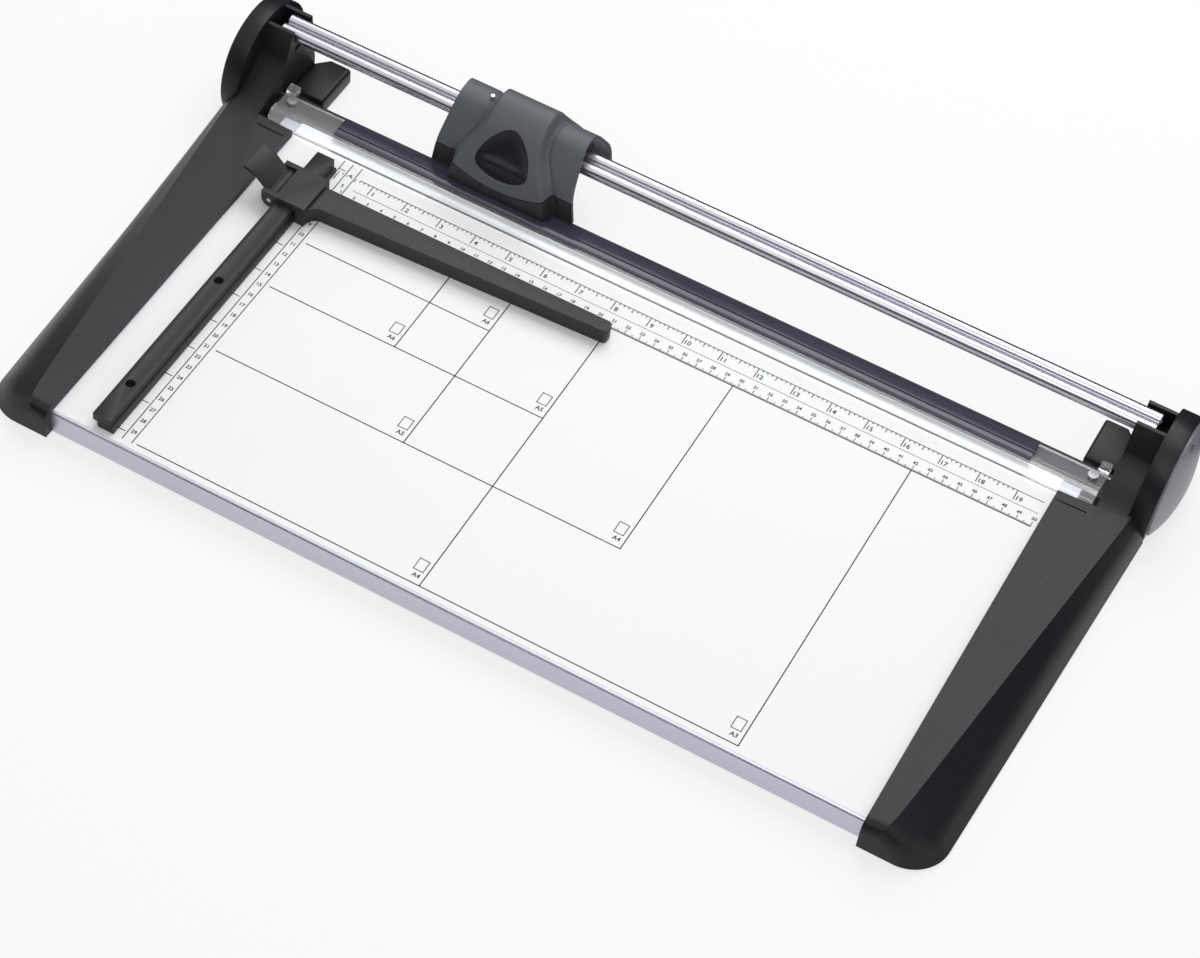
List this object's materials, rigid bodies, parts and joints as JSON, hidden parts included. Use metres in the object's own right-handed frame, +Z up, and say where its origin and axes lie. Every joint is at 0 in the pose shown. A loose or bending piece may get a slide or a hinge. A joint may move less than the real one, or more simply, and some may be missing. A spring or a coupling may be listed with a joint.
{
  "type": "rotary paper trimmer",
  "caption": "Rotary paper trimmer: a scaled deck between end caps, a carriage with a round blade on twin rails, a clear paper clamp, a side fence and a stop arm.",
  "frame": {"origin": "on the table, under the middle of the machine's bounding box", "axes": "+X to the user's right along the cut, +Y away from the user, +Z up"},
  "size_m": [0.682, 0.369, 0.081],
  "materials": {
    "aluminium_sheet": "satin anodised sheet",
    "printed_film": "white film with printed scales",
    "black_bed": "black anodised",
    "blade_steel": "ground steel",
    "charcoal_plastic": "finely textured",
    "silver_plastic": "satin silver grey",
    "grey_plastic": "satin",
    "black_plastic": "satin",
    "chrome_tube": "polished",
    "clear_plastic": "clear, glossy",
    "smoky_plastic": "smoky, glossy",
    "zinc_steel": "zinc plated",
    "nylon": "natural",
    "rubber": "matt"
  },
  "bodies": {
    "base": {"base_plate": "aluminium_sheet", "scale_sheet": "printed_film", "bed_bar": "black_bed", "bed_knife": "blade_steel", "left_end_cap": "charcoal_plastic", "right_end_cap": "charcoal_plastic", "left_end_cover": "charcoal_plastic", "right_end_cover": "charcoal_plastic", "left_cover_panel": "silver_plastic", "right_cover_panel": "silver_plastic", "cover_screws": "zinc_steel", "front_rail": "chrome_tube", "rear_rail": "chrome_tube", "left_rail_saddle": "black_plastic", "right_rail_saddle": "black_plastic", "rail_screws": "zinc_steel", "base_screws": "zinc_steel", "left_rear_foot": "charcoal_plastic", "right_rear_foot": "charcoal_plastic", "rubber_feet": "rubber", "clamp_pins": "zinc_steel", "clamp_springs": "zinc_steel", "side_fence": "black_plastic", "fence_screws": "zinc_steel"},
    "carriage": {"carriage_cover": "grey_plastic", "carriage_skirt": "black_plastic", "thumb_insert": "black_plastic", "carriage_block": "black_plastic", "left_rail_bearing": "nylon", "right_rail_bearing": "nylon", "cover_pin": "zinc_steel", "blade_holder": "black_plastic", "blade_axle": "zinc_steel", "blade_spacer": "nylon", "blade_retainer": "zinc_steel", "holder_screws": "zinc_steel"},
    "blade": {"cutting_wheel": "blade_steel"},
    "clamp": {"clamp_bar": "clear_plastic", "guard_strip": "smoky_plastic"},
    "gauge": {"gauge_arm": "black_plastic", "lever_pin": "zinc_steel"},
    "lever": {"gauge_lever": "black_plastic"}
  },
  "joints": [
    {"name": "carriage_slide", "type": "slide", "parent": "base", "child": "carriage", "axis": [1, 0, 0], "range_m": [-0.113, 0.377]},
    {"name": "blade_spin", "type": "hinge", "parent": "carriage", "child": "blade", "pos_m": [-0.1323, 0.1262, 0.0325], "axis": [0, 1, 0], "range_deg": [-470, 1550]},
    {"name": "clamp_press", "type": "slide", "parent": "base", "child": "clamp", "axis": [0, 0, 1], "range_m": [-0.0012, 0], "stiffness_N_per_m": 800, "springref_m": 0.002, "deforming": ["clamp_springs"]},
    {"name": "gauge_slide", "type": "slide", "parent": "base", "child": "gauge", "axis": [0, 1, 0], "range_m": [-0.2, 0.018]},
    {"name": "lever_turn", "type": "hinge", "parent": "gauge", "child": "lever", "pos_m": [-0.251, 0.047, 0.0295], "axis": [0, 1, 0], "range_deg": [-30, 20]}
  ],
  "couplings": [
    {"joint": "blade_spin", "follows": "carriage_slide", "rad_per_m": 71.429}
  ]
}
